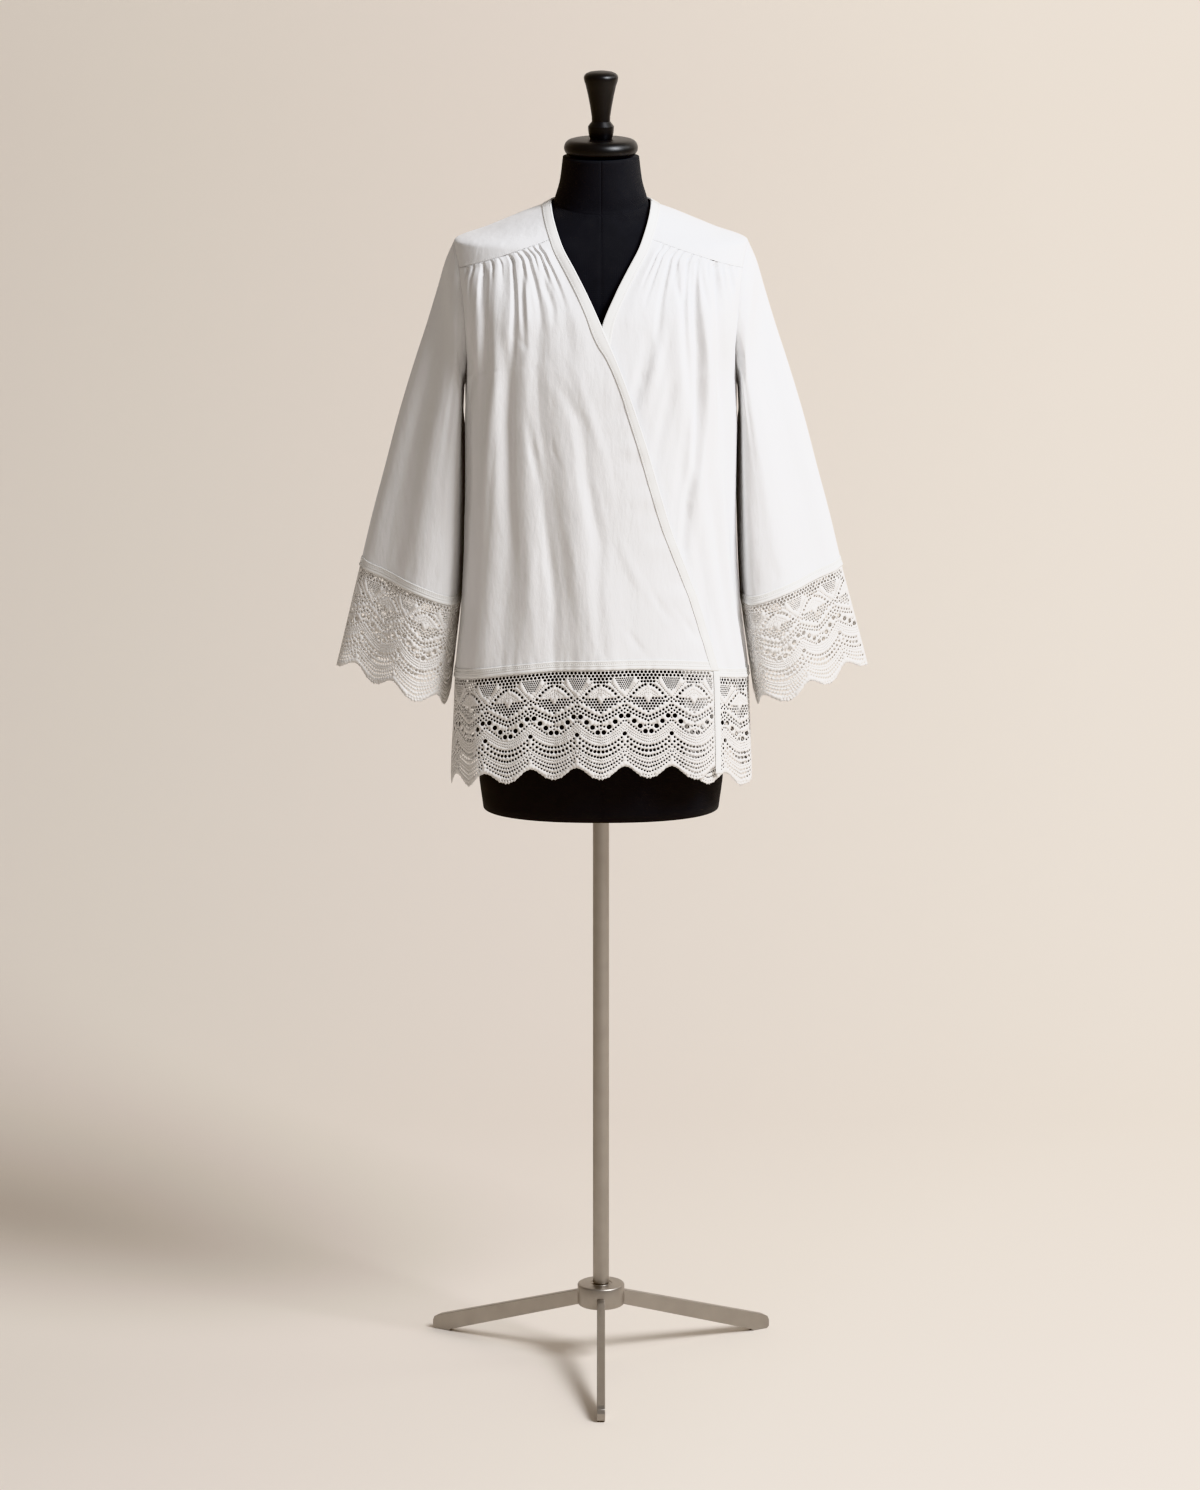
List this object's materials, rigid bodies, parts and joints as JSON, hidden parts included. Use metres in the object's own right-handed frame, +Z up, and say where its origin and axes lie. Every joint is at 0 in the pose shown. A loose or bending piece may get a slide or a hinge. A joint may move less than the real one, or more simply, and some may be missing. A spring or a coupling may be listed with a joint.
{
  "type": "crossover surplice on a limbless dress form and tripod stand",
  "caption": "White cotton surplice with a yoke, crossed gathered fronts, wide sleeves and deep scalloped lace at hem and cuffs, worn by a black dress form on a steel tripod.",
  "frame": {"origin": "on the floor, under the middle of the whole object's box; the stand's pole is 57.4 mm behind it", "axes": "+Z up along the pole, the wearer faces -Y and the wearer's right side is -X"},
  "size_m": [0.7094, 0.4189, 1.766],
  "materials": {
    "cotton": "fine plain-woven white cotton, matt with a faint sheen",
    "cotton_tape": "folded and top-stitched cotton bands, and beaded tape over the lace",
    "lace": "bobbin-style cotton lace, warm white, matt",
    "jersey": "black jersey stretched over the form, matt",
    "lacquer": "turned wood in black satin lacquer",
    "steel": "brushed, satin"
  },
  "bodies": {
    "root": {"yoke": "cotton", "front_right": "cotton", "front_left": "cotton", "back": "cotton", "sleeve_right": "cotton", "sleeve_left": "cotton", "band_right": "cotton_tape", "band_left": "cotton_tape", "band_neck_back": "cotton_tape", "heading_front_right": "cotton_tape", "heading_front_left": "cotton_tape", "heading_back": "cotton_tape", "heading_sleeve_right": "cotton_tape", "heading_sleeve_left": "cotton_tape", "lace_front_right_edge": "cotton_tape", "lace_front_right": "lace", "lace_front_left": "lace", "lace_back": "lace", "lace_sleeve_right_front": "lace", "lace_sleeve_right_back": "lace", "lace_sleeve_left_front": "lace", "lace_sleeve_left_back": "lace", "form_torso": "jersey", "neck_cap": "lacquer", "neck_finial": "lacquer", "stand_pole": "steel", "stand_hub": "steel", "stand_leg_front": "steel", "stand_leg_right": "steel", "stand_leg_left": "steel"}
  },
  "joints": []
}
